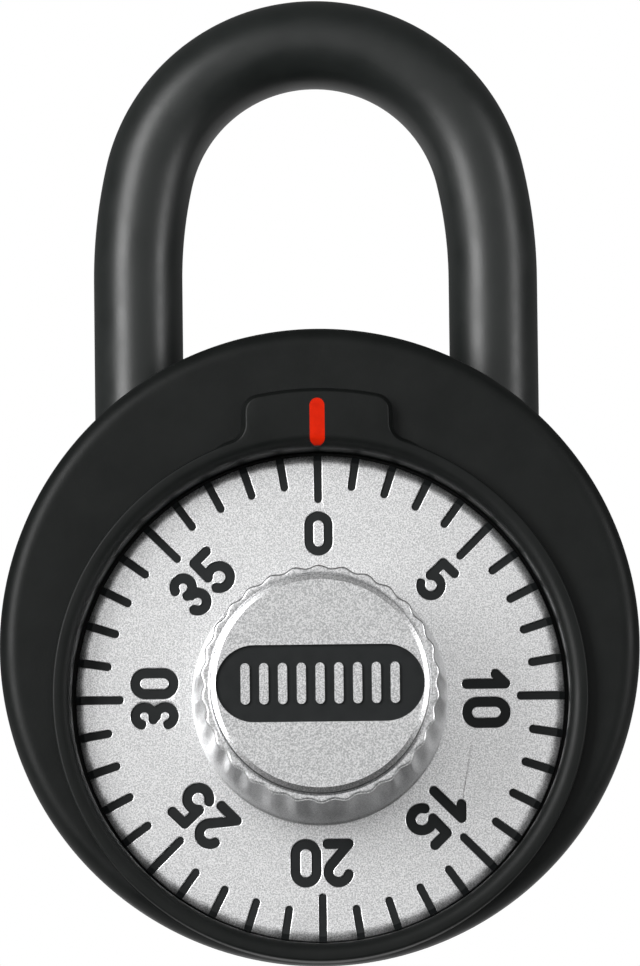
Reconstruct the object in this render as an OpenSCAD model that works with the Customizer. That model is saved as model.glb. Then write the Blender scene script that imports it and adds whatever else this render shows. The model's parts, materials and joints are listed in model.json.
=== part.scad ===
// Combination padlock: round case, numbered dial with a fluted knob, three-wheel pack and sprung pawl.
// Every module is drawn with X right, Y up and Z out of the dial, X = Y = 0 on the case axis and Z = 0
// on the flat rear face. upright() then turns it so that the shackle points along +Z.

/* [Case] */
// Diameter of the case at its widest
case_d = 50; // [50:0.5:54]
// Thickness of the case, from its rear face to its front face
case_t = 20; // [20:0.25:22]
// Sheet thickness of the front shell
shell_wall = 1.4; // [1.2:0.1:1.5]
// Height of the collar and its tab above the front face
collar_h = 1.2; // [0.8:0.1:1.6]
// Width of the index tab on top of the collar
tab_w = 11.3; // [9:0.1:13]

/* [Dial] */
// Diameter of the dial plate
dial_d = 38.2; // [37:0.1:38.3]
// How far the dial axis lies below the case axis
dial_drop = 4; // [3.9:0.05:4.2]
// Depth of the dial face below the front of the collar
dial_recess = 3.3; // [3.2:0.1:3.8]
// Number of divisions on the scale, four times a multiple of ten
divisions = 40; // [40:40:40]

/* [Knob] */
// Diameter of the knob at its base
knob_d = 20; // [19:0.1:21]
// Height of the knob above the dial face
knob_h = 10.4; // [9:0.1:12]
// Number of flutes round the knob
flutes = 30; // [24, 30, 36]

/* [Shackle] */
// Diameter of the shackle bar
bar_d = 7; // [6.8:0.1:7]
// Distance between the axes of the two legs
leg_gap = 28; // [28:0.1:28.4]
// Height of the top of the shackle above the case axis
bow_top = 52.4; // [48:0.1:60]
// How far the shackle rises when the lock opens
lift = 14; // [13:0.5:14]

/* [Hidden] */
$fn = 96;

// Clearances: cut for a clean boolean, running for a shaft in its hole
cut = 1;
running = 0.05;

// Case
case_r = case_d / 2;
rim_round = 1.4;
rear_r = case_r - 1.8;
rear_round = 1.6;
lip_z = 0.25;
lip_opening_r = rear_r - 2.9;
cover_step = 0.95;
cover_t = 1.9;
side_land = 1.2;

// Dial pocket and collar, about the dial axis
collar_front = case_t + collar_h;
dial_face = collar_front - dial_recess;
dial_t = 1;
dial_r = dial_d / 2;
dial_bevel_w = 0.85;
dial_bevel_h = 0.3;
pocket_r = 19.4;
pocket_floor = dial_face - dial_t - 0.3;
floor_t = 1.2;
frame_front = pocket_floor - floor_t;
collar_r = 20.9;
collar_inner_round = 1;
collar_outer_round = 0.35;
pocket_wall_r = collar_r - 0.3;
tab_r = 23.84;
tab_corner = 1.2;
tab_fillet = 1.5;
index_w = 1.17;
index_l = 3.74;
index_y = 21.35;
index_depth = 0.5;

// Scale
major_every = divisions / 8;
major_r = 15.36;
minor_r = 16.5;
tick_w = 0.6;
engraving = 0.3;
fill_drop = 0.15;
numeral_r = 12.95;
numeral_h = 3.76;
numeral_half_w = 1.2;
stroke = 0.75;
numeral_pitch = 2.55;
single_scale = 0.92;
step_value = 5;

// Knob
knob_r = knob_d / 2;
knob_front = dial_face + knob_h;
knob_flange_h = 0.8;
knob_rim_r = knob_r - 0.7;
flute_r = 0.55;
flute_depth = 0.34;
cap_r = 8.45;
cap_seat = 0.8;
cap_proud = 0.6;
cap_round = 0.3;
badge_l = 16.2;
badge_w = 6;
badge_depth = 0.5;
badge_t = 0.25;
rib_count = 9;
rib_w = 0.7;
rib_l = 3.2;
rib_pitch = 1.45;
rib_t = 0.2;

// Shackle
bar_r = bar_d / 2;
leg_x = leg_gap / 2;
shackle_z = 9.5;
crown_r = 13.4;
shoulder_r = 37.5;
band_w = 0.5;
crown_y = bow_top - bar_r - crown_r;
crown_angle = asin((shoulder_r - leg_x) / (shoulder_r - crown_r));
leg_top = crown_y - (shoulder_r - crown_r) * cos(crown_angle);
toe_end = 8;
heel_end = -10;
leg_chamfer = 0.8;
notch_low = 11.6;
notch_high = 14.6;
notch_depth = 1.65;
toe_relief = 0.65;
ring_y = -8;
ring_w = 0.8;
ring_groove_r = bar_r - 0.6;
ring_r = 4.2;

// Frame and base plate
base_front = 3.1;
frame_r = 21.6;
frame_wall = 1.4;
frame_plate_t = 1.5;
frame_plate_rear = frame_front - frame_plate_t;
base_r = 21.5;
guide_r = bar_r + running;
guide_outer = 18.6;
guide_inner = 10.1;
heel_guide_low = ring_y + ring_w / 2 + lift + 0.2;
toe_guide_low = 4.5;
toe_bore_low = 7;
guide_high = 19;
window_low = 10.8;
window_high = 15.2;
rivet_r = 1.1;
rivet_head_r = 1.8;
rivet_head_t = 0.6;
rivet_circle = 17.6;
rivet_angles = [90, -35, 232];
boss_r = 2.9;

// Spindle, bush and wheel post, about the dial axis
spindle_r = 2.5;
pilot_r = 1.2;
bush_r = 4;
bush_flange_r = 5.2;
bush_flange_t = 1.1;
post_r = 2.5;
post_flange_r = 4;
post_flange_t = 0.5;
post_tail_r = 1.6;
clip_r = 3.9;
clip_t = 0.6;
clip_groove_r = 2;
washer_r = 4.6;
washer_t = 0.3;

// Wheel pack: each wheel, then the gap in which its drive pins meet
wheel_r = 9;
wheel_t = 1.2;
wheel_gap = 1.3;
wheel_play = 0.05;
rear_wheel_z = base_front + post_flange_t + wheel_play;
middle_wheel_z = rear_wheel_z + wheel_t + wheel_gap;
cam_z = middle_wheel_z + wheel_t + wheel_gap;
post_front = cam_z - 0.1;
cam_hub_r = 4.2;
cam_hub_h = 1.6;
gate_w = 2.4;
gate_depth = 2.6;
spacer_r = 4.4;
spacer_t = wheel_gap - 2 * wheel_play;
pin_ring_r = 6;
pin_r = 0.8;
pin_reach = 1.1;
pin_contact = 2 * asin(pin_r / pin_ring_r);
pin_rest = pin_contact + 1;
cam_pin_angle = 20;
middle_front_pin = cam_pin_angle + pin_rest;
middle_rear_pin = 150;
rear_front_pin = middle_rear_pin + pin_rest;
cam_gate = 245;
middle_gate = 310;
rear_gate = 200;

// Pawl
pivot = [13.6, 0.5];
pawl_z = 8;
pawl_t = 3;
pivot_r = 1.5;
pawl_hub_r = 2.9;
fence_at = [4.2, 9.4];
fence_r = 0.8;
spring_x = 5.6;
spring_low = 12.3;
spring_high = 17.4;
spring_r = 1.1;
spring_wire = 0.3;
spring_turns = 5;
spring_z = pawl_z + pawl_t / 2;
anchor_r = 0.8;

// ---------------------------------------------------------------- helpers

// Turns the drawing frame to the part's own frame
module upright() rotate([90, 0, 0]) children();

// Moves to the dial axis
module on_dial() translate([0, -dial_drop, 0]) children();

// A round rod along Z between two depths
module rod(r, z0, z1) translate([0, 0, z0]) cylinder(h = z1 - z0, r = r);

// A ring along Z between two depths
module ring(outer, inner, z0, z1) difference() {
    rod(outer, z0, z1);
    rod(inner, z0 - cut, z1 + cut);
}

// A flat shape along Z between two depths
module slab(z0, z1) translate([0, 0, z0]) linear_extrude(z1 - z0) children();

// A round rod along Y at x, at depth z
module leg(r, x, z, y0, y1) translate([x, y0, z]) rotate([-90, 0, 0]) cylinder(h = y1 - y0, r = r);

// A stroke with round ends between two points
module bar(a, b, w) {
    run = norm(b - a);
    translate(a) circle(r = w / 2);
    translate(b) circle(r = w / 2);
    translate(a) rotate(atan2(b[1] - a[1], b[0] - a[0])) translate([0, -w / 2]) square([run, w]);
}

// A curved stroke with round ends about a centre, from angle a0 up to a1
module arc(c, r, a0, a1, w) {
    steps = ceil((a1 - a0) / 45);
    reach = 2 * (r + w);
    translate(c) {
        intersection() {
            difference() {
                circle(r = r + w / 2);
                circle(r = r - w / 2);
            }
            polygon(concat([[0, 0]], [
                for (i = [0 : steps]) let (a = a0 + (a1 - a0) * i / steps) reach * [cos(a), sin(a)]
            ]));
        }
        for (a = [a0, a1]) rotate(a) translate([r, 0]) circle(r = w / 2);
    }
}

// ---------------------------------------------------------------- case

// Half section of the shell's outside
module shell_section() {
    translate([case_r - rim_round, case_t - rim_round]) circle(r = rim_round);
    translate([rear_r - rear_round, lip_z + rear_round]) circle(r = rear_round);
    polygon([
        [0, lip_z],
        [rear_r - rear_round, lip_z],
        [rear_r - rear_round, lip_z + rear_round],
        [rear_r, lip_z + rear_round],
        [case_r, case_t - rim_round - side_land],
        [case_r, case_t - rim_round],
        [case_r - rim_round, case_t - rim_round],
        [case_r - rim_round, case_t],
        [0, case_t]
    ]);
}

// Half section of the space inside the shell, with the seat that the rear cover is rolled into
module cavity_section() {
    inside = case_r - shell_wall;
    polygon([
        [0, -cut],
        [lip_opening_r, -cut],
        [lip_opening_r, cover_step],
        [rear_r - shell_wall, cover_step],
        [rear_r - shell_wall, cover_t],
        [inside - 0.1, case_t - rim_round - side_land],
        [inside - rim_round, case_t - shell_wall],
        [0, case_t - shell_wall]
    ]);
}

// Half section of the dial pocket and collar about the dial axis
module collar_section() {
    inner_c = [pocket_r + collar_inner_round, collar_front - collar_inner_round];
    outer_c = [collar_r - collar_outer_round, collar_front - collar_outer_round];
    intersection() {
        translate(inner_c) circle(r = collar_inner_round);
        translate([pocket_r - cut, inner_c[1]]) square([collar_inner_round + cut, 2]);
    }
    translate(outer_c) circle(r = collar_outer_round);
    polygon([
        [inner_c[0], inner_c[1]],
        [collar_r, inner_c[1]],
        [collar_r, outer_c[1]],
        [outer_c[0], outer_c[1]],
        [outer_c[0], collar_front],
        [inner_c[0], collar_front]
    ]);
    polygon([
        [0, frame_front],
        [pocket_wall_r, frame_front],
        [pocket_wall_r, case_t - rim_round - side_land],
        [collar_r, case_t - rim_round - side_land],
        [collar_r, inner_c[1]],
        [pocket_r, inner_c[1]],
        [pocket_r, pocket_floor],
        [0, pocket_floor]
    ]);
}

// Outline of the index tab about the dial axis
module tab_outline() {
    half = tab_w / 2;
    corner_x = half - tab_corner;
    corner_y = sqrt(pow(tab_r - tab_corner, 2) - pow(corner_x, 2));
    fillet_x = half + tab_fillet;
    fillet_y = sqrt(pow(collar_r + tab_fillet, 2) - pow(fillet_x, 2));
    meet = collar_r / (collar_r + tab_fillet);
    root_y = pocket_r + collar_inner_round;
    intersection() {
        circle(r = tab_r);
        translate([-corner_x, root_y]) square([2 * corner_x, tab_r - root_y]);
    }
    translate([-half, root_y - tab_fillet]) square([tab_w, corner_y - root_y + tab_fillet]);
    for (side = [-1, 1]) {
        translate([side * corner_x, corner_y]) circle(r = tab_corner);
        difference() {
            polygon([
                [side * (half - tab_fillet), fillet_y - tab_fillet],
                [side * (half - tab_fillet), fillet_y],
                [side * fillet_x, fillet_y],
                [side * fillet_x * meet, fillet_y * meet]
            ]);
            translate([side * fillet_x, fillet_y]) circle(r = tab_fillet);
        }
    }
}

module index_outline() translate([0, index_y]) bar(
    [0, -(index_l - index_w) / 2],
    [0, (index_l - index_w) / 2],
    index_w
);

// The collar with its tab, down to the pocket floor
module collar_body() {
    rotate_extrude() collar_section();
    difference() {
        slab(case_t - shell_wall, collar_front) tab_outline();
        rod(pocket_r + collar_inner_round, 0, collar_front + cut);
    }
}

module front_shell() color("#1c1e1f") upright() difference() {
    union() {
        difference() {
            rotate_extrude() shell_section();
            rotate_extrude() cavity_section();
            on_dial() rod(pocket_wall_r - 0.6, pocket_floor, case_t + cut);
        }
        on_dial() collar_body();
    }
    on_dial() {
        rod(bush_r, 0, pocket_floor + cut);
        slab(collar_front - index_depth, collar_front + cut) index_outline();
    }
    for (side = [-1, 1]) leg(bar_r + 0.2, side * leg_x, shackle_z, toe_end, case_r + cut);
}

module index_mark() color("#e8360c") upright() on_dial() intersection() {
    slab(collar_front - index_depth, collar_front) index_outline();
    collar_body();
}

module rear_cover() color("#232526") upright() {
    rod(lip_opening_r - 0.1, 0, cover_step);
    rod(rear_r - shell_wall - 0.1, cover_step, cover_t);
}

// ---------------------------------------------------------------- frame

// Block round one leg, from its low end up to the wall
module guide_block(side, low) intersection() {
    rod(frame_r - frame_wall / 2, base_front, frame_plate_rear + frame_plate_t / 2);
    translate([side > 0 ? guide_inner : -guide_outer, low, base_front])
        cube([guide_outer - guide_inner, guide_high - low, frame_front]);
}

module rivet_places() for (a = rivet_angles) {
    translate(rivet_circle * [cos(a), sin(a), 0]) children();
}

module inner_frame() color("#8c8f92") upright() difference() {
    union() {
        ring(frame_r, frame_r - frame_wall, base_front, frame_front);
        rod(frame_r - frame_wall / 2, frame_plate_rear, frame_front);
        guide_block(-1, heel_guide_low);
        guide_block(1, toe_guide_low);
        rivet_places() rod(boss_r, base_front, frame_plate_rear + cut / 2);
    }
    leg(guide_r, -leg_x, shackle_z, heel_guide_low - cut, case_r);
    leg(guide_r, leg_x, shackle_z, toe_bore_low, case_r);
    translate([guide_inner - cut, window_low, pawl_z - 0.5])
        cube([notch_depth + 3, window_high - window_low, pawl_t + 1]);
    on_dial() rod(bush_r, 0, frame_front + cut);
    rivet_places() rod(rivet_r, base_front - cut, frame_plate_rear - running);
    translate(pivot) rod(pivot_r, 0, frame_front - 0.5);
    translate([spring_x, spring_high]) rod(anchor_r, 0, frame_front - 0.5);
}

module base_plate() color("#9da0a3") upright() difference() {
    rod(base_r - 0.2, cover_t, base_front);
    on_dial() rod(post_tail_r, 0, base_front + cut);
    rivet_places() rod(rivet_r, 0, base_front + cut);
    rivet_places() rod(rivet_head_r, 0, cover_t + rivet_head_t);
    translate(pivot) rod(pivot_r, 0, base_front + cut);
}

module plate_rivets() color("#b9bcbf") upright() rivet_places() {
    rod(rivet_head_r, cover_t, cover_t + rivet_head_t);
    rod(rivet_r, cover_t + rivet_head_t / 2, frame_plate_rear - 0.2);
}

module spring_anchor() color("#b9bcbf") upright() translate([spring_x, spring_high])
    rod(anchor_r, pawl_z, frame_front - 0.5);

// ---------------------------------------------------------------- spindle and wheel post

module spindle_bush() color("#b08d4c") upright() on_dial() difference() {
    union() {
        rod(bush_flange_r, frame_plate_rear - bush_flange_t, frame_plate_rear);
        rod(bush_r, frame_plate_rear - bush_flange_t, pocket_floor);
    }
    rod(spindle_r + running, 0, case_t);
}

module wheel_post() color("#b9bcbf") upright() on_dial() difference() {
    union() {
        rod(post_tail_r, cover_t, base_front + cut / 2);
        rod(post_flange_r, base_front, base_front + post_flange_t);
        rod(post_r, base_front, post_front);
    }
    rod(pilot_r + running, base_front + cut, case_t);
}

module wheel_spacers() color("#b08d4c") upright() on_dial() for (z = [rear_wheel_z, middle_wheel_z]) {
    ring(spacer_r, post_r + running, z + wheel_t + wheel_play, z + wheel_t + wheel_play + spacer_t);
}

module spindle() color("#b9bcbf") upright() on_dial() difference() {
    union() {
        rod(pilot_r, base_front + 2 * cut, cam_z);
        rod(spindle_r, cam_z, knob_front - cap_seat - cut);
    }
    ring(spindle_r + cut, clip_groove_r, clip_z(), clip_z() + clip_t);
}

function clip_z() = frame_plate_rear - bush_flange_t - washer_t - 2 * wheel_play - clip_t;

module spindle_clip() color("#5d6063") upright() on_dial() difference() {
    ring(clip_r, clip_groove_r, clip_z(), clip_z() + clip_t);
    slab(0, case_t) translate([0, -clip_r]) square([2 * clip_groove_r - 0.6, 2 * clip_r], center = true);
}

module wave_washer() color("#9da0a3") upright() on_dial()
    ring(washer_r, spindle_r, clip_z() + clip_t + wheel_play, clip_z() + clip_t + wheel_play + washer_t);

// ---------------------------------------------------------------- wheel pack

// Flat outline of a wheel with its gate at an angle
module wheel_outline(bore, gate) difference() {
    circle(r = wheel_r);
    circle(r = bore);
    rotate(gate) translate([wheel_r - gate_depth, -gate_w / 2]) square([gate_depth + cut, gate_w]);
}

module pin_place(a) rotate(a) translate([pin_ring_r, 0, 0]) children();

module middle_wheel() color("#b08d4c") upright() on_dial() difference() {
    slab(middle_wheel_z, middle_wheel_z + wheel_t) wheel_outline(post_r + running, middle_gate);
    for (a = [middle_front_pin, middle_rear_pin]) pin_place(a) rod(pin_r, 0, case_t);
}

module middle_wheel_pins() color("#d0d2d4") upright() on_dial() {
    pin_place(middle_front_pin) rod(pin_r, middle_wheel_z, middle_wheel_z + wheel_t + pin_reach);
    pin_place(middle_rear_pin) rod(pin_r, middle_wheel_z - pin_reach, middle_wheel_z + wheel_t);
}

module rear_wheel() color("#b08d4c") upright() on_dial() difference() {
    slab(rear_wheel_z, rear_wheel_z + wheel_t) wheel_outline(post_r + running, rear_gate);
    pin_place(rear_front_pin) rod(pin_r, 0, case_t);
}

module rear_wheel_pin() color("#d0d2d4") upright() on_dial()
    pin_place(rear_front_pin) rod(pin_r, rear_wheel_z, rear_wheel_z + wheel_t + pin_reach);

module drive_cam() color("#b08d4c") upright() on_dial() difference() {
    union() {
        slab(cam_z, cam_z + wheel_t) wheel_outline(spindle_r, cam_gate);
        ring(cam_hub_r, spindle_r, cam_z, cam_z + wheel_t + cam_hub_h);
    }
    pin_place(cam_pin_angle) rod(pin_r, 0, case_t);
}

module cam_drive_pin() color("#d0d2d4") upright() on_dial()
    pin_place(cam_pin_angle) rod(pin_r, cam_z - pin_reach, cam_z + wheel_t);

// ---------------------------------------------------------------- dial

module tick(inner) {
    translate([-tick_w / 2, inner + tick_w / 2]) square([tick_w, dial_r + cut - inner - tick_w / 2]);
    translate([0, inner + tick_w / 2]) circle(r = tick_w / 2);
}

module ticks() for (i = [0 : divisions - 1]) {
    rotate(-360 * i / divisions) tick(i % major_every == 0 ? major_r : minor_r);
}

module digit_0() {
    r = numeral_half_w - stroke / 2;
    c = numeral_h / 2 - numeral_half_w;
    arc([0, c], r, 0, 180, stroke);
    arc([0, -c], r, 180, 360, stroke);
    for (side = [-1, 1]) bar([side * r, -c], [side * r, c], stroke);
}

module digit_1() {
    top = (numeral_h - stroke) / 2;
    bar([0.3, -top], [0.3, top], stroke);
    bar([0.3, top], [-0.45, top - 0.75], stroke);
}

module digit_2() {
    top = (numeral_h - stroke) / 2;
    r = numeral_half_w - stroke / 2 - 0.02;
    end = -40;
    arc([0, top - r], r, end, 165, stroke);
    bar([r * cos(end), top - r + r * sin(end)], [-r, -top], stroke);
    bar([-r, -top], [r + 0.05, -top], stroke);
}

module digit_3() {
    top = (numeral_h - stroke) / 2;
    upper = 0.7;
    lower = top - upper;
    arc([0, top - upper], upper, -90, 160, stroke);
    arc([0, -lower], top - lower, -160, 90, stroke);
    bar([-0.25, top - 2 * upper], [0, top - 2 * upper], stroke);
}

module digit_5() {
    top = (numeral_h - stroke) / 2;
    bowl = 0.87;
    start = 138;
    corner = [-0.6, top];
    arc([0, bowl - top], bowl, -150, start, stroke);
    bar(corner, [bowl * cos(start), bowl - top + bowl * sin(start)], stroke);
    bar(corner, [0.72, top], stroke);
}

module digit(n) {
    if (n == 0) digit_0();
    if (n == 1) digit_1();
    if (n == 2) digit_2();
    if (n == 3) digit_3();
    if (n == 5) digit_5();
}

// One or two digits, centred
module number(value) {
    if (value < 10) scale(single_scale) digit(value);
    if (value >= 10) {
        translate([-numeral_pitch / 2, 0]) digit(floor(value / 10));
        translate([numeral_pitch / 2, 0]) digit(value % 10);
    }
}

module numerals() for (i = [0 : 7]) {
    rotate(-45 * i) translate([0, numeral_r]) number(i * step_value);
}

module dial_section() polygon([
    [0, 0],
    [dial_r, 0],
    [dial_r, dial_t - dial_bevel_h],
    [dial_r - dial_bevel_w, dial_t],
    [0, dial_t]
]);

module dial_blank() translate([0, 0, dial_face - dial_t]) rotate_extrude() dial_section();

module dial_plate() color("#c9cbcc") upright() on_dial() difference() {
    union() {
        dial_blank();
        rod(bush_flange_r, pocket_floor + wheel_play, dial_face - dial_t / 2);
    }
    rod(spindle_r, 0, case_t);
    slab(dial_face - engraving, dial_face + cut) ticks();
    slab(dial_face - engraving, dial_face + cut) numerals();
}

module scale_ticks() color("#2a2e2f") upright() on_dial() intersection() {
    slab(dial_face - engraving, dial_face - fill_drop) ticks();
    dial_blank();
}

module scale_numerals() color("#2a2e2f") upright() on_dial()
    slab(dial_face - engraving, dial_face - fill_drop) numerals();

// ---------------------------------------------------------------- knob

// Half section of the knob, with its base flange and the seat of its cap
module knob_section() {
    body_low = dial_face + knob_flange_h;
    polygon([
        [0, dial_face],
        [knob_r, dial_face],
        [knob_r, body_low],
        [knob_r - 0.05, body_low],
        [knob_rim_r, knob_front - 0.3],
        [knob_rim_r - 0.3, knob_front],
        [cap_r, knob_front],
        [cap_r, knob_front - cap_seat],
        [0, knob_front - cap_seat]
    ]);
}

module knob() color("#c9cbcc") upright() on_dial() {
    low = dial_face + knob_flange_h;
    lean = atan2(knob_r - knob_rim_r, knob_h - knob_flange_h);
    difference() {
        rotate_extrude() knob_section();
        rod(spindle_r, 0, knob_front - cap_seat - cut);
        for (i = [0 : flutes - 1]) {
            rotate((i + 0.5) * 360 / flutes) translate([knob_r + flute_r - flute_depth, 0, low])
                rotate([0, -lean, 0]) cylinder(h = knob_h + cut, r = flute_r);
        }
    }
}

module badge_outline() bar([-(badge_l - badge_w) / 2, 0], [(badge_l - badge_w) / 2, 0], badge_w);

// Half section of the cap, with a rounded edge
module cap_section() {
    front = knob_front + cap_proud;
    translate([cap_r - cap_round, front - cap_round]) circle(r = cap_round);
    polygon([
        [0, knob_front - cap_seat],
        [cap_r, knob_front - cap_seat],
        [cap_r, front - cap_round],
        [cap_r - cap_round, front - cap_round],
        [cap_r - cap_round, front],
        [0, front]
    ]);
}

module knob_cap() color("#c9cbcc") upright() on_dial() difference() {
    rotate_extrude() cap_section();
    slab(knob_front + cap_proud - badge_depth, knob_front + cap_proud + cut) badge_outline();
}

module knob_badge() color("#2a2e2f") upright() on_dial()
    slab(knob_front + cap_proud - badge_depth, knob_front + cap_proud - badge_depth + badge_t)
        badge_outline();

module badge_ribs() color("#c9cbcc") upright() on_dial() {
    low = knob_front + cap_proud - badge_depth + badge_t;
    reach = (rib_l - rib_w) / 2;
    slab(low, low + rib_t) for (i = [0 : rib_count - 1]) {
        translate([(i - (rib_count - 1) / 2) * rib_pitch, 0]) bar([0, -reach], [0, reach], rib_w);
    }
}

// ---------------------------------------------------------------- shackle

// A curved length of the bar in the XY plane about a centre, from angle a0 up to a1
module bend(c, r, a0, a1) translate([c[0], c[1], shackle_z])
    rotate(a0) rotate_extrude(angle = a1 - a0) translate([r, 0]) circle(r = bar_r);

// A band a hair thicker than the bar, square to a radius at an angle, which fuses two lengths of it
module fusing_band(x, y, angle) translate([x, y, shackle_z]) rotate(angle) rotate([-90, 0, 0])
    cylinder(h = band_w, r = bar_r + 0.02, center = true);

// The gentle bend between the crown and one leg
module shoulder(side) {
    meet = 90 - side * crown_angle;
    low_angle = side > 0 ? 0 : meet;
    bend([side * (leg_x - shoulder_r), leg_top], shoulder_r, low_angle, low_angle + 90 - crown_angle);
    fusing_band(side * leg_x, leg_top, 0);
    fusing_band(crown_r * cos(meet), crown_y + crown_r * sin(meet), meet);
}

// A straight leg with a chamfered end
module shackle_leg(side, low) {
    leg(bar_r, side * leg_x, shackle_z, low + leg_chamfer, leg_top);
    translate([side * leg_x, low, shackle_z]) rotate([-90, 0, 0])
        cylinder(h = leg_chamfer, r1 = bar_r - leg_chamfer, r2 = bar_r);
}

// What the notch and its ramp take off the inside of the toe
module toe_notch() {
    inner = leg_x - bar_r;
    slab(shackle_z - bar_r - cut, shackle_z + bar_r + cut) polygon([
        [inner - cut, notch_high],
        [inner + notch_depth, notch_high],
        [inner + notch_depth, notch_low],
        [inner + toe_relief, toe_end - cut / 2],
        [inner - cut, toe_end - cut / 2]
    ]);
}

module shackle() color("#1c1e1f") upright() difference() {
    union() {
        bend([0, crown_y], crown_r, 90 - crown_angle, 90 + crown_angle);
        for (side = [-1, 1]) shoulder(side);
        shackle_leg(1, toe_end);
        shackle_leg(-1, heel_end);
    }
    toe_notch();
    translate([-leg_x, ring_y, shackle_z]) rotate([-90, 0, 0])
        ring(bar_r + cut, ring_groove_r, -ring_w / 2, ring_w / 2);
}

module heel_ring() color("#b9bcbf") upright() translate([-leg_x, ring_y, shackle_z]) rotate([-90, 0, 0])
    ring(ring_r, ring_groove_r, -ring_w / 2, ring_w / 2);

// ---------------------------------------------------------------- pawl

module pawl_outline() {
    translate(pivot) circle(r = pawl_hub_r);
    nose_x = leg_x - bar_r + notch_depth - 0.15;
    nose_low = notch_low + 0.2;
    nose_high = notch_high - 0.4;
    arm_x = guide_inner - 0.3;
    polygon([
        [pivot[0] - 1.6, pivot[1] + 2.3],
        [arm_x, 4],
        [arm_x, nose_low],
        [nose_x, nose_low],
        [nose_x, nose_high],
        [8.4, nose_high],
        [6.4, 12],
        [3.4, 10.6],
        [3.2, 9.2],
        [6.6, 8.9],
        [7.8, 5.4],
        [pivot[0] - 2.8, pivot[1] - 0.4]
    ]);
}

module pawl() color("#b9bcbf") upright() difference() {
    slab(pawl_z, pawl_z + pawl_t) pawl_outline();
    translate(pivot) rod(pivot_r + running, 0, case_t);
    translate(fence_at) rod(fence_r, 0, case_t);
}

module fence_bar() color("#d0d2d4") upright() translate(fence_at)
    rod(fence_r, rear_wheel_z, pawl_z + pawl_t);

module pawl_pivot_pin() color("#b9bcbf") upright() translate(pivot)
    rod(pivot_r, cover_t, frame_front - 0.5);

// Points of the spring's coil, climbing along Y
function coil_points(steps) = [
    for (i = [0 : steps]) let (a = 360 * spring_turns * i / steps)
        [spring_r * cos(a), spring_low + 0.9 + (spring_high - spring_low - 1.8) * i / steps, spring_r * sin(a)]
];

// A closed tube swept along points, with a square-cut end
module tube(points, r, sides) {
    last = len(points) - 1;
    function heading(i) = points[min(i + 1, last)] - points[max(i - 1, 0)];
    function side_a(i) = let (s = cross(heading(i), [0, 1, 0])) s / norm(s);
    function side_b(i) = let (s = cross(side_a(i), heading(i))) s / norm(s);
    function ring_point(i, k) = points[i]
        + r * (cos(360 * k / sides) * side_a(i) + sin(360 * k / sides) * side_b(i));
    polyhedron(
        points = [for (i = [0 : last]) for (k = [0 : sides - 1]) ring_point(i, k)],
        faces = concat(
            [[for (k = [0 : sides - 1]) k]],
            [for (i = [0 : last - 1]) for (k = [0 : sides - 1]) let (n = (k + 1) % sides)
                [i * sides + k, (i + 1) * sides + k, (i + 1) * sides + n, i * sides + n]],
            [[for (k = [sides - 1 : -1 : 0]) last * sides + k]]
        )
    );
}

module pawl_spring() color("#d0d2d4") upright() translate([spring_x, 0, spring_z])
    tube(coil_points(spring_turns * 16), spring_wire, 8);

// ---------------------------------------------------------------- nodes

front_shell();
index_mark();
rear_cover();
inner_frame();
base_plate();
plate_rivets();
spindle_bush();
wheel_post();
wheel_spacers();
pawl_pivot_pin();
spring_anchor();
pawl_spring();
dial_plate();
scale_ticks();
scale_numerals();
knob();
knob_cap();
knob_badge();
badge_ribs();
spindle();
drive_cam();
cam_drive_pin();
spindle_clip();
wave_washer();
middle_wheel();
middle_wheel_pins();
rear_wheel();
rear_wheel_pin();
shackle();
heel_ring();
pawl();
fence_bar();
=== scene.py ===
"""Looks of the combination padlock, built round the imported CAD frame."""
import json
import math

import bmesh
import bpy
from mathutils import Matrix, Vector


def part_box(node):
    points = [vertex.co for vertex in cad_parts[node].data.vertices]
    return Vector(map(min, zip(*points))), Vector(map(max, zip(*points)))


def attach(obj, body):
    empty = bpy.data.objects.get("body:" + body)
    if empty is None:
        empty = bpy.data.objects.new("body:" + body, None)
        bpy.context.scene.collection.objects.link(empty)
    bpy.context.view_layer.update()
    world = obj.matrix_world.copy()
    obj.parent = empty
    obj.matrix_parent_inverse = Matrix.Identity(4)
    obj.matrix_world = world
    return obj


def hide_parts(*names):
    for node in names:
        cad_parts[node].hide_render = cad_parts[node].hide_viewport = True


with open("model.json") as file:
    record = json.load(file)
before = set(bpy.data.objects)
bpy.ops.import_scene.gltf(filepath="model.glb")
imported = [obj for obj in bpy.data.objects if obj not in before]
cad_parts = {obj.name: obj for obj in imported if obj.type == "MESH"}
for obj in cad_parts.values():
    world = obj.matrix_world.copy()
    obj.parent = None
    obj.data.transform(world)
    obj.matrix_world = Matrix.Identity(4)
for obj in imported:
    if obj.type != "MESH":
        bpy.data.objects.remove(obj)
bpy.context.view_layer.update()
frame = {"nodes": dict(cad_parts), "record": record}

MM = 0.001

# Places that the frame gives: the dial's axis, and depths measured out of the dial from the rear face
DIAL_LOW, DIAL_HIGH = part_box("dial_plate")
DIAL_X = (DIAL_LOW.x + DIAL_HIGH.x) / 2
DIAL_Z = (DIAL_LOW.z + DIAL_HIGH.z) / 2
DIAL_FACE = -DIAL_LOW.y
KNOB_LOW, KNOB_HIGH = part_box("knob")
KNOB_FRONT = -KNOB_LOW.y
SHACKLE_LOW, SHACKLE_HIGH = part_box("shackle")
DIAL_CENTRE = (DIAL_X, DIAL_Z)

STRIP_STEPS = 24


# ---------------------------------------------------------------- mesh helpers

def solid(name, verts, faces, sharp_angle=30):
    """A closed mesh object, smooth-shaded but for edges sharper than the angle in degrees."""
    mesh = bpy.data.meshes.new(name)
    mesh.from_pydata([tuple(v) for v in verts], [], faces)
    obj = bpy.data.objects.new(name, mesh)
    bpy.context.scene.collection.objects.link(obj)
    smooth(mesh, sharp_angle)
    return obj


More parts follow.
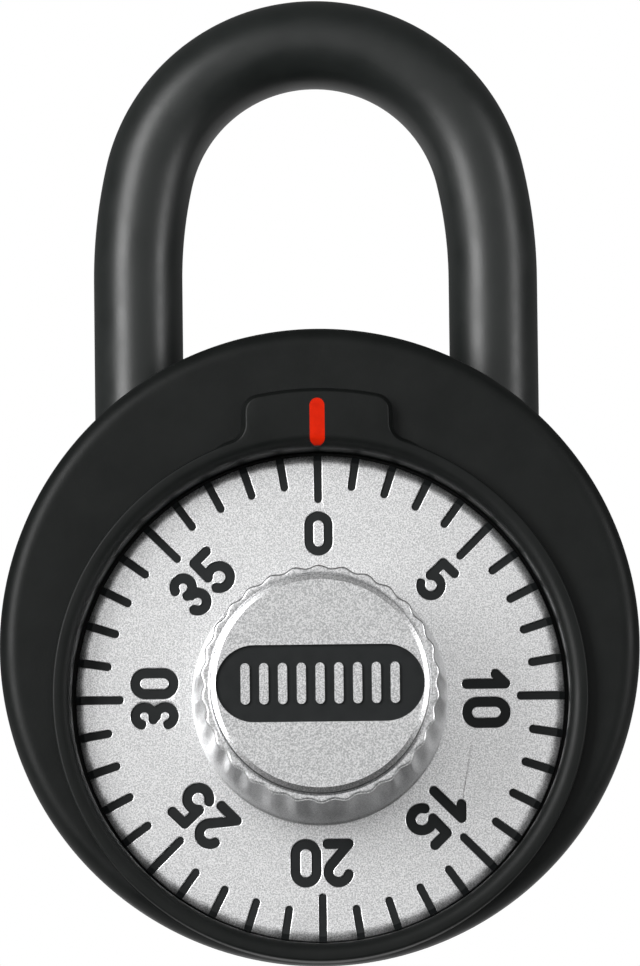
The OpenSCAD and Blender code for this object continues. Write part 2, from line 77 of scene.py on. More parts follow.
def smooth(mesh, sharp_angle):
    """Outward normals, and smooth shading with crisp edges above an angle in degrees."""
    work = bmesh.new()
    work.from_mesh(mesh)
    bmesh.ops.recalc_face_normals(work, faces=work.faces)
    work.to_mesh(mesh)
    work.free()
    mesh.polygons.foreach_set("use_smooth", [True] * len(mesh.polygons))
    mesh.set_sharp_from_angle(angle=math.radians(sharp_angle))


def upright(x, y, depth):
    """A point from the drawing frame, in the row frame: x right, y up, depth out of the dial."""
    return Vector((x, -depth, y))


def skin(rings, loop=False):
    """Vertices and faces over rings of points. One point is a pole, and loop joins last to first."""
    verts, faces, starts = [], [], []
    for ring in rings:
        starts.append(len(verts))
        verts += ring
    pairs = list(zip(range(len(rings) - 1), range(1, len(rings))))
    if loop:
        pairs.append((len(rings) - 1, 0))
    for a, b in pairs:
        count = max(len(rings[a]), len(rings[b]))
        for k in range(count):
            n = (k + 1) % count
            low = [starts[a]] if len(rings[a]) == 1 else [starts[a] + k, starts[a] + n]
            high = [starts[b]] if len(rings[b]) == 1 else [starts[b] + n, starts[b] + k]
            faces.append(tuple(low + high))
    return verts, faces


def capped(rings):
    """Vertices and faces over rings of equal size, closed with a flat face at both ends."""
    verts, faces = skin(rings)
    count = len(rings[0])
    faces.append(tuple(range(count)))
    faces.append(tuple(range(len(verts) - count, len(verts))))
    return verts, faces


def turns(count):
    """Evenly spaced angles round a full turn."""
    return [2 * math.pi * k / count for k in range(count)]


def circle(centre, radius, depth, count):
    """A ring of points about an axis out of the dial, at a depth; radius 0 gives a pole."""
    if radius == 0:
        return [upright(centre[0], centre[1], depth)]
    return [
        upright(centre[0] + radius * math.sin(a), centre[1] + radius * math.cos(a), depth)
        for a in turns(count)
    ]


def rounding(centre, radius, start, end, steps):
    """Profile points on an arc, as radius and depth; angles in degrees from the radial direction."""
    points = []
    for i in range(steps + 1):
        angle = math.radians(start + (end - start) * i / steps)
        points.append((centre[0] + radius * math.cos(angle), centre[1] + radius * math.sin(angle)))
    return points


def combine(target, tool, operation):
    """Joins or cuts a closed mesh with another, and throws the tool away."""
    modifier = target.modifiers.new("combine", "BOOLEAN")
    modifier.operation = operation
    modifier.object = tool
    modifier.solver = "MANIFOLD"
    graph = bpy.context.evaluated_depsgraph_get()
    mesh = bpy.data.meshes.new_from_object(target.evaluated_get(graph))
    target.modifiers.clear()
    target.data = mesh
    bpy.data.objects.remove(tool)


def prism(outline, low, high):
    """A closed prism over a flat outline between two depths."""
    rings = [[upright(x, y, depth) for x, y in outline] for depth in (low, high)]
    return solid("prism", *capped(rings))


def stadium(centre, half_width, half_length, upright_long):
    """Outline of a strip with round ends, long up and down or sideways."""
    outline = []
    for end, start in ((1, 0), (-1, math.pi)):
        for i in range(STRIP_STEPS):
            angle = start + math.pi * i / (STRIP_STEPS - 1)
            across = half_width * math.cos(angle)
            along = half_width * math.sin(angle) + (half_length - half_width) * end
            x, y = (across, along) if upright_long else (along, across)
            outline.append((centre[0] + x, centre[1] + y))
    return outline


def scoop(t):
    """Smooth rise from 0 to 1 as t goes from 0 to 1."""
    t = min(max(t, 0), 1)
    return t * t * (3 - 2 * t)


def paint(obj, material):
    """Gives an object one material in place of what it had."""
    obj.data.materials.clear()
    obj.data.materials.append(material)


def linked(obj, body, node, slots, materials):
    """Puts a piece on its body, in place of a CAD node and in that node's material."""
    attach(obj, body)
    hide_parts(node)
    paint(obj, materials[slots[node]])


# ---------------------------------------------------------------- shackle

BAR_R = 3.5 * MM
LEG_X = SHACKLE_HIGH.x - BAR_R
BAR_DEPTH = -(SHACKLE_LOW.y + SHACKLE_HIGH.y) / 2
CROWN_R = 13.4 * MM
SHOULDER_R = 37.5 * MM
CROWN_Z = SHACKLE_HIGH.z - BAR_R - CROWN_R
CROWN_ANGLE = math.asin((SHOULDER_R - LEG_X) / (SHOULDER_R - CROWN_R))
LEG_TOP = CROWN_Z - (SHOULDER_R - CROWN_R) * math.cos(CROWN_ANGLE)
HEEL_END = SHACKLE_LOW.z
TOE_END = 8 * MM
LEG_CHAMFER = 0.8 * MM
GROOVE_Z = -8 * MM
GROOVE_HALF = 0.4 * MM
GROOVE_R = 2.9 * MM
NOTCH_LOW = 11.6 * MM
NOTCH_HIGH = 14.6 * MM
NOTCH_DEPTH = 1.65 * MM
TOE_RELIEF = 0.65 * MM
BAR_SIDES = 72
SHACKLE_CREASE = 35
SHOULDER_STEPS = 12
CROWN_STEPS = 120


def arc_stations(centre, radius, start, end, steps):
    """Stations on an arc: place and direction of travel, for angles that fall as the path goes on."""
    stations = []
    for i in range(steps + 1):
        angle = start + (end - start) * i / steps
        place = Vector((centre[0] + radius * math.cos(angle), centre[1] + radius * math.sin(angle)))
        stations.append((place, Vector((math.sin(angle), -math.cos(angle))), BAR_R))
    return stations


def shackle_stations():
    """The bar's path from the heel to the toe, as place, direction and radius."""
    up = Vector((0, 1))
    down = Vector((0, -1))
    heel = [
        (HEEL_END, BAR_R - LEG_CHAMFER),
        (HEEL_END + LEG_CHAMFER, BAR_R),
        (GROOVE_Z - GROOVE_HALF, BAR_R),
        (GROOVE_Z - GROOVE_HALF, GROOVE_R),
        (GROOVE_Z + GROOVE_HALF, GROOVE_R),
        (GROOVE_Z + GROOVE_HALF, BAR_R),
    ]
    toe = [(TOE_END + LEG_CHAMFER, BAR_R), (TOE_END, BAR_R - LEG_CHAMFER)]
    join = math.pi / 2 + CROWN_ANGLE
    stations = [(Vector((-LEG_X, z)), up, r) for z, r in heel]
    stations += arc_stations((SHOULDER_R - LEG_X, LEG_TOP), SHOULDER_R, math.pi, join, SHOULDER_STEPS)
    stations += arc_stations((0, CROWN_Z), CROWN_R, join, math.pi - join, CROWN_STEPS)[1:-1]
    stations += arc_stations((LEG_X - SHOULDER_R, LEG_TOP), SHOULDER_R, math.pi - join, 0, SHOULDER_STEPS)
    stations += [(Vector((LEG_X, z)), down, r) for z, r in toe]
    return stations


def notch_block():
    """What the notch and its ramp take off the inside of the toe."""
    inner = LEG_X - BAR_R
    outline = [
        (inner - MM, NOTCH_HIGH),
        (inner + NOTCH_DEPTH, NOTCH_HIGH),
        (inner + NOTCH_DEPTH, NOTCH_LOW),
        (inner + TOE_RELIEF, TOE_END - MM),
        (inner - MM, TOE_END - MM),
    ]
    return prism(outline, BAR_DEPTH - BAR_R - MM, BAR_DEPTH + BAR_R + MM)


def make_shackle():
    """The bent bar, with the notch for the pawl cut into its toe."""
    rings = []
    for place, heading, radius in shackle_stations():
        side = Vector((heading.y, -heading.x))
        ring = []
        for angle in turns(BAR_SIDES):
            across = place + side * radius * math.cos(angle)
            ring.append(upright(across.x, across.y, BAR_DEPTH + radius * math.sin(angle)))
        rings.append(ring)
    bar = solid("shackle_bar", *capped(rings))
    combine(bar, notch_block(), "DIFFERENCE")
    smooth(bar.data, SHACKLE_CREASE)
    return bar


# ---------------------------------------------------------------- shell

CASE_R = 24.99 * MM
CASE_FRONT = 20 * MM
RIM_ROUND = 1.4 * MM
REAR_R = 23.2 * MM
REAR_ROUND = 1.6 * MM
LIP_DEPTH = 0.25 * MM
LIP_R = 20.3 * MM
COVER_STEP = 0.95 * MM
COVER_FRONT = 1.9 * MM
SHELL_WALL = 1.4 * MM
SIDE_LAND = 1.2 * MM
COLLAR_FRONT = -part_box("front_shell")[0].y
COLLAR_R = 20.9 * MM
COLLAR_EDGE = 0.2 * MM
POCKET_R = 19.4 * MM
POCKET_FLOOR = 16.6 * MM
FLOOR_T = 1.2 * MM
POCKET_WALL = 1.2 * MM
MOUTH_ROUND = 1 * MM
BUSH_R = 4 * MM
TAB_R = 23.84 * MM
TAB_HALF = 5.65 * MM
TAB_CORNER = 1.2 * MM
TAB_FILLET = 1.5 * MM
TAB_FLARE = 0.3 * MM
FLARE_RISE = 0.3 * MM
FLARE_SHARE = 0.6
FLARE_END = 1.6 * TAB_HALF
FLARE_FADE = 0.4 * TAB_HALF
COLLAR_FOOT = CASE_FRONT - 0.8 * MM
MOUTH_CUT_R = POCKET_R + 0.6 * MM
FLAT_MARGIN = 0.2 * MM
INNER_DRAFT = 0.1 * MM
TAB_STEPS = 24
CORNER_STEPS = 14
COLLAR_STEPS = 260
ROUND_STEPS = 12
COLLAR_EDGE_STEPS = 5
CLOSEST = 0.005 * MM
HOLE_R = BAR_R + 0.2 * MM
CASE_SIDES = 360
HOLE_SIDES = 96
SHELL_CREASE = 28


def case_profile():
    """The cup's section from the axis at the front, round the outside and back along the inside."""
    inside = CASE_R - SHELL_WALL
    shoulder = CASE_FRONT - RIM_ROUND - SIDE_LAND
    flat_edge = CASE_R - RIM_ROUND - FLAT_MARGIN
    return [
        (0, CASE_FRONT),
        (POCKET_R / 2, CASE_FRONT),
        (flat_edge, CASE_FRONT),
        *rounding((CASE_R - RIM_ROUND, CASE_FRONT - RIM_ROUND), RIM_ROUND, 90, 0, ROUND_STEPS),
        (CASE_R, shoulder),
        *rounding((REAR_R - REAR_ROUND, LIP_DEPTH + REAR_ROUND), REAR_ROUND, 0, -90, ROUND_STEPS),
        (LIP_R, LIP_DEPTH),
        (LIP_R, COVER_STEP),
        (REAR_R - SHELL_WALL, COVER_STEP),
        (REAR_R - SHELL_WALL, COVER_FRONT),
        (inside - INNER_DRAFT, shoulder),
        (inside - RIM_ROUND, CASE_FRONT - SHELL_WALL),
        (0, CASE_FRONT - SHELL_WALL),
    ]


def half_outline():
    """Right half of the collar's outline with its tab, from the top round to the bottom."""
    corner = Vector((TAB_HALF - TAB_CORNER, 0))
    corner.y = math.sqrt((TAB_R - TAB_CORNER) ** 2 - corner.x ** 2)
    fillet = Vector((TAB_HALF + TAB_FILLET, 0))
    fillet.y = math.sqrt((COLLAR_R + TAB_FILLET) ** 2 - fillet.x ** 2)
    lean = math.atan2(corner.y, corner.x)
    root = math.atan2(fillet.y, fillet.x)
    runs = [
        ((0, 0), TAB_R, math.pi / 2, lean, TAB_STEPS),
        (corner, TAB_CORNER, lean, 0, CORNER_STEPS),
        (fillet, TAB_FILLET, math.pi, root + math.pi, CORNER_STEPS),
        ((0, 0), COLLAR_R, root, -math.pi / 2, COLLAR_STEPS),
    ]
    points = []
    for centre, radius, start, end, steps in runs:
        for i in range(steps + 1):
            angle = start + (end - start) * i / steps
            point = Vector((centre[0] + radius * math.cos(angle), centre[1] + radius * math.sin(angle)))
            if not points or (point - points[-1]).length > CLOSEST:
                points.append(point)
    return points


def collar_outline():
    """The whole outline about the dial axis, clockwise from the top, with its outward directions."""
    right = half_outline()
    points = right + [Vector((-p.x, p.y)) for p in reversed(right[1:-1])]
    outward = []
    for i in range(len(points)):
        along = points[(i + 1) % len(points)] - points[i - 1]
        outward.append(Vector((-along.y, along.x)).normalized())
    return points, outward


def collar_ring(points, outward, offset, depth, flare=0):
    """The outline moved out by an offset, and by a flare round the tab only, at a depth."""
    ring = []
    for point, away in zip(points, outward):
        near_tab = scoop((FLARE_END - abs(point.x)) / FLARE_FADE) if point.y > 0 else 0
        moved = point + away * (offset + flare * near_tab)
        ring.append(upright(DIAL_X + moved.x, DIAL_Z + moved.y, depth))
    return ring


def inner_ring(points, radius, depth):
    """A circle about the dial axis with its points in line with the outline's."""
    return [
        upright(DIAL_X + p.x / p.length * radius, DIAL_Z + p.y / p.length * radius, depth)
        for p in points
    ]


def make_collar():
    """The dial pocket, its collar and tab, as one closed ring."""
    points, outward = collar_outline()
    rings = [
        collar_ring(points, outward, 0, COLLAR_FOOT, TAB_FLARE),
        collar_ring(points, outward, 0, CASE_FRONT, TAB_FLARE),
        collar_ring(points, outward, 0, CASE_FRONT + FLARE_RISE, TAB_FLARE * FLARE_SHARE),
    ]
    edge = rounding(
        (-COLLAR_EDGE, COLLAR_FRONT - COLLAR_EDGE), COLLAR_EDGE, 0, 90, COLLAR_EDGE_STEPS
    )
    for offset, depth in edge:
        rings.append(collar_ring(points, outward, offset, depth))
    inside = [
        *rounding(
            (POCKET_R + MOUTH_ROUND, COLLAR_FRONT - MOUTH_ROUND), MOUTH_ROUND, 90, 180, ROUND_STEPS
        ),
        (POCKET_R, POCKET_FLOOR),
        (BUSH_R, POCKET_FLOOR),
        (BUSH_R, POCKET_FLOOR - FLOOR_T),
        (POCKET_R + POCKET_WALL, POCKET_FLOOR - FLOOR_T),
        (POCKET_R + POCKET_WALL, COLLAR_FOOT),
    ]
    rings += [inner_ring(points, radius, depth) for radius, depth in inside]
    return solid("collar", *skin(rings, loop=True))


def dial_opening():
    """The disc that is cut out of the cup's front before the collar goes in."""
    profile = [
        (0, POCKET_FLOOR),
        (MOUTH_CUT_R, POCKET_FLOOR),
        (MOUTH_CUT_R, COLLAR_FRONT),
        (0, COLLAR_FRONT),
    ]
    return solid("mouth", *skin([circle(DIAL_CENTRE, r, depth, CASE_SIDES) for r, depth in profile]))


def middle_of(node):
    """The middle of a node's box as it is seen from the front."""
    low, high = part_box(node)
    return ((low.x + high.x) / 2, (low.z + high.z) / 2)


def leg_hole(side):
    """The hole for one leg of the shackle, from inside the case up through its rim."""
    rings = []
    for height in (TOE_END, CASE_R + MM):
        ring = [(side * LEG_X + HOLE_R * math.cos(a), HOLE_R * math.sin(a)) for a in turns(HOLE_SIDES)]
        rings.append([Vector((x, -BAR_DEPTH + y, height)) for x, y in ring])
    return solid("hole", *capped(rings))


def strip_tool(node, centre, front, upright_long):
    """A strip with round ends, as large as a node's box, that reaches on past a depth in front of it."""
    low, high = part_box(node)
    half = [(high.x - low.x) / 2, (high.z - low.z) / 2]
    return prism(stadium(centre, min(half), max(half), upright_long), -high.y, front + MM)


def make_shell():
    """The drawn front shell: cup and collar in one, with its leg holes and the index mark's recess."""
    rings = [circle((0, 0), radius, depth, CASE_SIDES) for radius, depth in case_profile()]
    shell = solid("shell", *skin(rings))
    combine(shell, dial_opening(), "DIFFERENCE")
    combine(shell, make_collar(), "UNION")
    for side in (-1, 1):
        combine(shell, leg_hole(side), "DIFFERENCE")
    combine(shell, strip_tool("index_mark", middle_of("index_mark"), COLLAR_FRONT, True), "DIFFERENCE")
    shell.data.name = "shell"
    smooth(shell.data, SHELL_CREASE)
    return shell


# ---------------------------------------------------------------- knob

FLUTES = 30
FLUTE_STEPS = 16
FLANGE_H = 0.8 * MM
KNOB_BASE_R = (KNOB_HIGH.x - KNOB_LOW.x) / 2
KNOB_RIM_R = KNOB_BASE_R - 0.7 * MM
KNOB_EDGE = 0.22 * MM
CAP_R = 8.45 * MM
CAP_SEAT = 0.8 * MM
CAP_RISE = 0.6 * MM
CAP_CHAMFER = 0.36 * MM
CAP_DROP = 0.17 * MM
FLUTE_DEPTH = 0.24 * MM
FLUTE_FADE = 0.7
FOOT_ROUND = 0.1 * MM
FOOT_STEP = 0.05 * MM
SIDE_STEPS = 16
EDGE_STEPS = 6
CAP_SIDES = 240
KNOB_CREASE = 40
CAP_CREASE = 12
# The groove round the cap: how far beyond the cap, and how deep below the rim
CAP_GROOVE = ((0.3 * MM, 0), (0.16 * MM, 0.02 * MM), (0.06 * MM, 0.1 * MM), (0.03 * MM, CAP_SEAT))


def knob_profile():
    """The knob's outline as depth, radius and how much of the flutes' depth shows there."""
    foot = DIAL_FACE + FLANGE_H
    foot_r = KNOB_BASE_R - FOOT_STEP
    rise = KNOB_FRONT - KNOB_EDGE - foot
    profile = [(DIAL_FACE, KNOB_BASE_R, 0), (foot - FOOT_ROUND, KNOB_BASE_R, 0), (foot, foot_r, 0)]
    for i in range(1, SIDE_STEPS + 1):
        t = i / SIDE_STEPS
        profile.append((foot + rise * t, foot_r + (KNOB_RIM_R - foot_r) * t, scoop(t / FLUTE_FADE)))
    for i in range(1, EDGE_STEPS + 1):
        angle = math.pi / 2 * i / EDGE_STEPS
        radius = KNOB_RIM_R - KNOB_EDGE * (1 - math.cos(angle))
        profile.append((KNOB_FRONT - KNOB_EDGE * (1 - math.sin(angle)), radius, 1))
    profile += [(KNOB_FRONT - depth, CAP_R + gap, 0) for gap, depth in CAP_GROOVE]
    return profile


def make_knob():
    """The fluted knob, from its base flange to the rim round its cap."""
    rings = []
    for depth, radius, share in knob_profile():
        ring = []
        for angle in turns(FLUTES * FLUTE_STEPS):
            wave = (1 - math.cos(FLUTES * angle)) / 2
            r = radius - share * FLUTE_DEPTH * wave
            ring.append(upright(DIAL_X + r * math.sin(angle), DIAL_Z + r * math.cos(angle), depth))
        rings.append(ring)
    return solid("fluted_knob", *capped(rings), sharp_angle=KNOB_CREASE)


def make_cap():
    """The disc that closes the knob, with a chamfered edge and the badge's recess."""
    front = KNOB_FRONT + CAP_RISE
    seat = KNOB_FRONT - CAP_SEAT
    profile = [
        (0, front),
        (CAP_R / 2, front),
        (CAP_R - CAP_CHAMFER, front),
        (CAP_R, front - CAP_DROP),
        (CAP_R, seat),
        (0, seat),
    ]
    cap = solid("cap", *skin([circle(DIAL_CENTRE, r, depth, CAP_SIDES) for r, depth in profile]))
    combine(cap, strip_tool("knob_badge", DIAL_CENTRE, front, False), "DIFFERENCE")
    smooth(cap.data, CAP_CREASE)
    return cap


# ---------------------------------------------------------------- dial

WELD = 0.01 * MM
FLAT_ANGLE = 0.2
ENGRAVED_ANGLE = 32
ENGRAVED_ROUND = 0.07 * MM
DIAL_CREASE = 25


def make_dial():
    """A copy of the dial plate with the edges of its engraving rounded a little."""
    mesh = frame["nodes"]["dial_plate"].data.copy()
    mesh.name = "fine_dial_plate"
    dial = bpy.data.objects.new(mesh.name, mesh)
    bpy.context.scene.collection.objects.link(dial)
    work = bmesh.new()
    work.from_mesh(mesh)
    bmesh.ops.remove_doubles(work, verts=work.verts, dist=WELD)
    bmesh.ops.dissolve_degenerate(work, edges=work.edges, dist=WELD)
    bmesh.ops.dissolve_limit(
        work,
        angle_limit=math.radians(FLAT_ANGLE),
        verts=work.verts,
        edges=work.edges,
        use_dissolve_boundaries=False,
    )
    work.to_mesh(mesh)
    work.free()
    smooth(mesh, DIAL_CREASE)
    bevel = dial.modifiers.new("bevel", "BEVEL")
    bevel.width = ENGRAVED_ROUND
    bevel.segments = 2
    bevel.limit_method = "ANGLE"
    bevel.angle_limit = math.radians(ENGRAVED_ANGLE)
    bevel.use_clamp_overlap = False
    bevel.loop_slide = False
    evening = dial.modifiers.new("even_normals", "WEIGHTED_NORMAL")
    evening.mode = "FACE_AREA"
    evening.weight = 100
    return dial


# ---------------------------------------------------------------- materials

# Scales of the noises, in features per metre
MOTTLE_SCALE = 260
FINE_SCALE = 5200
COARSE_SCALE = 1300
SPARKLE_SCALE = 8500
CLOUD_SCALE = 150
POOL_SCALE = 900
PEEL_SCALE = 1800
TEXTURE_RATIO = 9
# The part of a noise's range that is used
MIDDLE_BAND = (0.3, 0.7)
SPARKLE_BAND = (0.4, 0.6)
# How far the roughness swings to either side of its middle
PAINT_SWING = 0.05
SATIN_SWING = 0.012
ENAMEL_SWING = 0.06
METAL_SWING = 0.08
PEEL_HEIGHT = 0.006 * MM
# Sockets of a mix node that is set to colours
MIX_FACTOR = 0
MIX_DARK = 6
MIX_LIGHT = 7
MIX_COLOR = 2


def shader(name, color, metallic, roughness):
    """A new node material with its Principled shader set."""
    material = bpy.data.materials.new(name)
    material.use_nodes = True
    bsdf = material.node_tree.nodes["Principled BSDF"]
    bsdf.inputs["Base Color"].default_value = (*color, 1)
    bsdf.inputs["Metallic"].default_value = metallic
    bsdf.inputs["Roughness"].default_value = roughness
    return material, bsdf


def noise(material, scale, detail, roughness=0.6):
    """Noise over the object's own coordinates; scale is in features per metre."""
    nodes = material.node_tree.nodes
    links = material.node_tree.links
    where = nodes.new("ShaderNodeTexCoord")
    texture = nodes.new("ShaderNodeTexNoise")
    texture.inputs["Scale"].default_value = scale
    texture.inputs["Detail"].default_value = detail
    texture.inputs["Roughness"].default_value = roughness
    links.new(where.outputs["Object"], texture.inputs["Vector"])
    return texture.outputs["Fac"]


def spread(material, value, low, high, band=MIDDLE_BAND):
    """Maps a band of a value's range onto low to high."""
    node = material.node_tree.nodes.new("ShaderNodeMapRange")
    node.inputs["From Min"].default_value = band[0]
    node.inputs["From Max"].default_value = band[1]
    node.inputs["To Min"].default_value = low
    node.inputs["To Max"].default_value = high
    material.node_tree.links.new(value, node.inputs["Value"])
    return node.outputs["Result"]


def tint(material, value, dark, light):
    """A colour between dark and light by a value from 0 to 1."""
    node = material.node_tree.nodes.new("ShaderNodeMix")
    node.data_type = "RGBA"
    node.inputs[MIX_DARK].default_value = (*dark, 1)
    node.inputs[MIX_LIGHT].default_value = (*light, 1)
    material.node_tree.links.new(value, node.inputs[MIX_FACTOR])
    return node.outputs[MIX_COLOR]


def vary(material, bsdf, value, colors, rough, swing):
    """Drives the colour between two shades, and the roughness about its middle, by one value."""
    links = material.node_tree.links
    links.new(tint(material, spread(material, value, 0, 1), *colors), bsdf.inputs["Base Color"])
    links.new(spread(material, value, rough - swing, rough + swing), bsdf.inputs["Roughness"])


def bump(material, bsdf, heights):
    """Stacks bumps, each a value and its height in metres, on the shader's normal."""
    nodes = material.node_tree.nodes
    links = material.node_tree.links
    last = None
    for value, distance in heights:
        node = nodes.new("ShaderNodeBump")
        node.inputs["Distance"].default_value = distance
        links.new(value, node.inputs["Height"])
        if last:
            links.new(last, node.inputs["Normal"])
        last = node.outputs["Normal"]
    links.new(last, bsdf.inputs["Normal"])


def black_paint(name, dark, light, rough, grain, specular):
    """Black powder coat: fine grain, faint mottling and patches that are a little smoother."""
    material, bsdf = shader(name, dark, metallic=0, roughness=rough)
    bsdf.inputs["Specular IOR Level"].default_value = specular
    mottle = noise(material, MOTTLE_SCALE, detail=4)
    fine = noise(material, FINE_SCALE, detail=2)
    coarse = noise(material, COARSE_SCALE, detail=3)
    vary(material, bsdf, mottle, (dark, light), rough, PAINT_SWING)
    bump(material, bsdf, [(fine, grain), (coarse, 2 * grain)])
    return material


def satin_silver(name, dark, light, rough, grain):
    """Bead-blasted plating: a fine sparkling grain over a soft satin."""
    material, bsdf = shader(name, light, metallic=1, roughness=rough)
    links = material.node_tree.links
    sparkle = noise(material, SPARKLE_SCALE, detail=2, roughness=0.7)
    cloud = noise(material, CLOUD_SCALE, detail=3)
    grains = spread(material, sparkle, 0, 1, SPARKLE_BAND)
    patches = spread(material, cloud, rough - SATIN_SWING, rough + SATIN_SWING)
    links.new(tint(material, grains, dark, light), bsdf.inputs["Base Color"])
    links.new(patches, bsdf.inputs["Roughness"])
    bump(material, bsdf, [(sparkle, grain)])
    return material


def enamel(name, deep, color, rough, specular):
    """Enamel fill: flat colour with a slight pooling and orange peel."""
    material, bsdf = shader(name, color, metallic=0, roughness=rough)
    bsdf.inputs["Specular IOR Level"].default_value = specular
    pool = noise(material, POOL_SCALE, detail=3)
    peel = noise(material, PEEL_SCALE, detail=2)
    vary(material, bsdf, pool, (deep, color), rough, ENAMEL_SWING)
    bump(material, bsdf, [(peel, PEEL_HEIGHT)])
    return material


def plain_metal(name, dark, light, rough, grain, scale):
    """Plated, cast or stamped inner metal, by its colour and grain."""
    material, bsdf = shader(name, light, metallic=1, roughness=rough)
    cloud = noise(material, scale, detail=4)
    texture = noise(material, scale * TEXTURE_RATIO, detail=3)
    vary(material, bsdf, cloud, (dark, light), rough, METAL_SWING)
    bump(material, bsdf, [(texture, grain)])
    return material


# Each slot of the record: its maker, and what that maker takes after the name
MATERIALS = {
    "black_case": (
        black_paint, (0.0037, 0.0045, 0.0042), (0.0053, 0.0062, 0.0058), 0.45, 0.005 * MM, 0.165
    ),
    "black_cover": (
        black_paint, (0.0095, 0.0107, 0.0104), (0.0135, 0.0148, 0.0144), 0.48, 0.005 * MM, 0.3
    ),
    "black_shackle": (
        black_paint, (0.0070, 0.0086, 0.0081), (0.0092, 0.0110, 0.0104), 0.38, 0.003 * MM, 0.42
    ),
    "red_enamel": (enamel, (0.44, 0.010, 0.001), (0.55, 0.014, 0.001), 0.45, 0.06),
    "black_enamel": (enamel, (0.0054, 0.0066, 0.0070), (0.0078, 0.0092, 0.0096), 0.5, 0.22),
    "satin_dial": (satin_silver, (0.55, 0.555, 0.56), (0.98, 0.98, 0.985), 0.34, 0.010 * MM),
    "satin_knob": (satin_silver, (0.44, 0.445, 0.45), (0.84, 0.84, 0.845), 0.34, 0.007 * MM),
    "cast_zinc": (plain_metal, (0.30, 0.31, 0.32), (0.46, 0.47, 0.48), 0.56, 0.02 * MM, 240),
    "steel": (plain_metal, (0.50, 0.51, 0.53), (0.66, 0.67, 0.68), 0.33, 0.004 * MM, 300),
    "brass": (plain_metal, (0.60, 0.42, 0.17), (0.78, 0.58, 0.28), 0.31, 0.004 * MM, 300),
}


def make_materials():
    """One material for each slot of the record."""
    return {slot: make(slot, *values) for slot, (make, *values) in MATERIALS.items()}


# ---------------------------------------------------------------- scene

CAMERA_DISTANCE = 1.0
CAMERA_RANGE = 20
CAMERA_DROP = math.radians(7.0)
CAMERA_ROLL = math.radians(0.67)
VIEW_WIDTH = 50.08 * MM
SENSOR = 36
AIM = Vector((0.17 * MM, -18 * MM, 12.9 * MM))
BRIGHT_SIDE = (0, -1, 0)
SURROUND_BEHIND = 0.15
SURROUND_FRONT = 0.8
SURROUND_FADE = 0.3
FLOOR_Z = -0.135
FLOOR_HALF = 4
FLOOR_SHADE = 0.86
FLOOR_GLOW = 0.3
FLAG_Z = -0.1
FLAG_LOW = (-0.5, -0.75)
FLAG_HIGH = (0.5, -0.06)
FLAG_SHADE = 0.05
CARD_ROUGHNESS = 0.8
WHITE = (1, 1, 1, 1)
# Name, place, width, height and power of each light
SOFTBOXES = (
    ("key_left", (-0.8, -0.85, 0.25), 0.55, 1.0, 20),
    ("fill_right", (1.0, -0.6, 0.15), 0.35, 0.8, 6),
)


def make_camera():
    """A long lens slightly below the lock, rolled a touch."""
    data = bpy.data.cameras.new("camera")
    data.sensor_fit = "HORIZONTAL"
    data.sensor_width = SENSOR
    data.lens = SENSOR * CAMERA_DISTANCE / VIEW_WIDTH
    data.clip_end = CAMERA_RANGE
    camera = bpy.data.objects.new("camera", data)
    bpy.context.scene.collection.objects.link(camera)
    away = Vector((0, -math.cos(CAMERA_DROP), -math.sin(CAMERA_DROP)))
    facing = (-away).to_track_quat("-Z", "Y").to_matrix().to_4x4()
    roll = Matrix.Rotation(-CAMERA_ROLL, 4, "Z")
    camera.matrix_world = Matrix.Translation(AIM + away * CAMERA_DISTANCE) @ facing @ roll
    bpy.context.scene.camera = camera


def softbox(name, place, width, height, power):
    """A soft area light that faces the lock."""
    data = bpy.data.lights.new(name, "AREA")
    data.shape = "RECTANGLE"
    data.size = width
    data.size_y = height
    data.energy = power
    light = bpy.data.objects.new(name, data)
    bpy.context.scene.collection.objects.link(light)
    light.location = place
    light.rotation_euler = (AIM - Vector(place)).to_track_quat("-Z", "Y").to_euler()


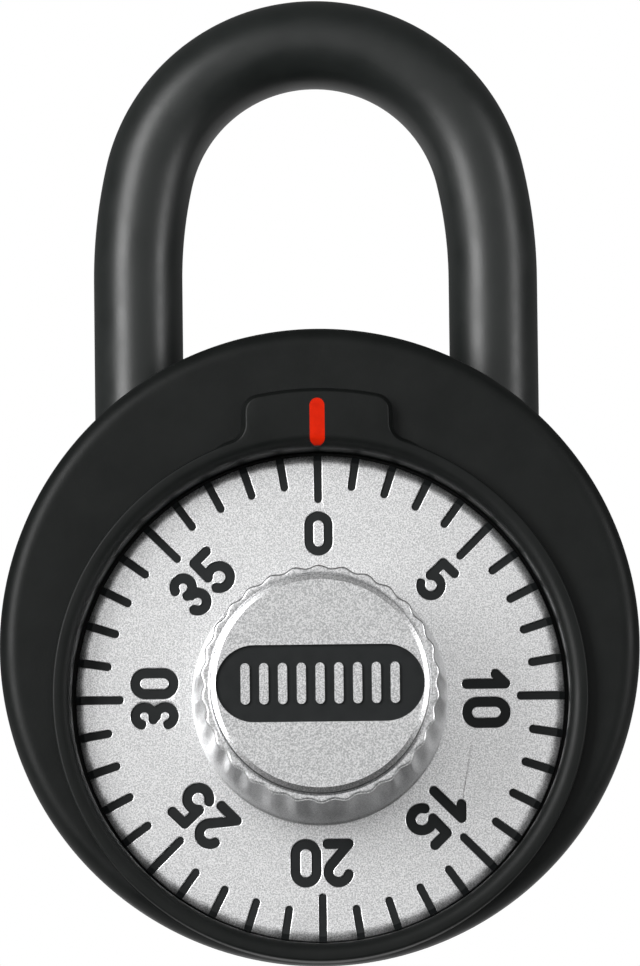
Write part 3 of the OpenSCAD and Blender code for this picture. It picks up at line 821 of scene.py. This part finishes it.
def make_world():
    """A pale surround, brighter from the front, that the camera itself sees as white."""
    world = bpy.data.worlds.new("surround")
    world.use_nodes = True
    bpy.context.scene.world = world
    nodes = world.node_tree.nodes
    links = world.node_tree.links
    where = nodes.new("ShaderNodeTexCoord")
    facing = nodes.new("ShaderNodeVectorMath")
    facing.operation = "DOT_PRODUCT"
    facing.inputs[1].default_value = BRIGHT_SIDE
    links.new(where.outputs["Generated"], facing.inputs[0])
    level = nodes.new("ShaderNodeMapRange")
    level.interpolation_type = "SMOOTHSTEP"
    level.inputs["From Min"].default_value = SURROUND_FADE
    level.inputs["To Min"].default_value = SURROUND_BEHIND
    level.inputs["To Max"].default_value = SURROUND_FRONT
    links.new(facing.outputs["Value"], level.inputs["Value"])
    surround = nodes["Background"]
    surround.inputs["Color"].default_value = WHITE
    links.new(level.outputs["Result"], surround.inputs["Strength"])
    white = nodes.new("ShaderNodeBackground")
    white.inputs["Color"].default_value = WHITE
    path = nodes.new("ShaderNodeLightPath")
    mix = nodes.new("ShaderNodeMixShader")
    links.new(path.outputs["Is Camera Ray"], mix.inputs[0])
    links.new(surround.outputs["Background"], mix.inputs[1])
    links.new(white.outputs["Background"], mix.inputs[2])
    links.new(mix.outputs["Shader"], nodes["World Output"].inputs["Surface"])


def card(name, low, high, z, shade):
    """A flat level studio card of one shade, between two corners."""
    corners = [(low[0], low[1], z), (high[0], low[1], z), (high[0], high[1], z), (low[0], high[1], z)]
    mesh = bpy.data.meshes.new(name)
    mesh.from_pydata(corners, [], [(0, 1, 2, 3)])
    obj = bpy.data.objects.new(name, mesh)
    bpy.context.scene.collection.objects.link(obj)
    material, bsdf = shader(name, (shade, shade, shade), metallic=0, roughness=CARD_ROUGHNESS)
    mesh.materials.append(material)
    return obj, bsdf


def make_floor():
    """A plain pale floor below the hanging lock, and a dark card that keeps its light off the knob."""
    low = (-FLOOR_HALF, -FLOOR_HALF)
    high = (FLOOR_HALF, FLOOR_HALF)
    _, glow = card("floor", low, high, FLOOR_Z, FLOOR_SHADE)
    glow.inputs["Emission Color"].default_value = WHITE
    glow.inputs["Emission Strength"].default_value = FLOOR_GLOW
    flag, _ = card("flag", FLAG_LOW, FLAG_HIGH, FLAG_Z, FLAG_SHADE)
    flag.visible_camera = False
    flag.visible_shadow = False


def make_scene():
    """Paints the CAD nodes, adds the finer pieces, and sets the camera and lights."""
    materials = make_materials()
    slots = {s["node"]: s["material_slot"] for s in frame["record"]["subparts"]}
    for node, obj in frame["nodes"].items():
        paint(obj, materials[slots[node]])
    pieces = (
        (make_shackle(), "shackle_assembly", "shackle"),
        (make_knob(), "dial_assembly", "knob"),
        (make_shell(), "case", "front_shell"),
        (make_cap(), "dial_assembly", "knob_cap"),
        (make_dial(), "dial_assembly", "dial_plate"),
    )
    for obj, body, node in pieces:
        linked(obj, body, node, slots, materials)
    make_camera()
    make_world()
    for box in SOFTBOXES:
        softbox(*box)
    make_floor()
    bpy.context.scene.view_settings.view_transform = "Standard"


make_scene()
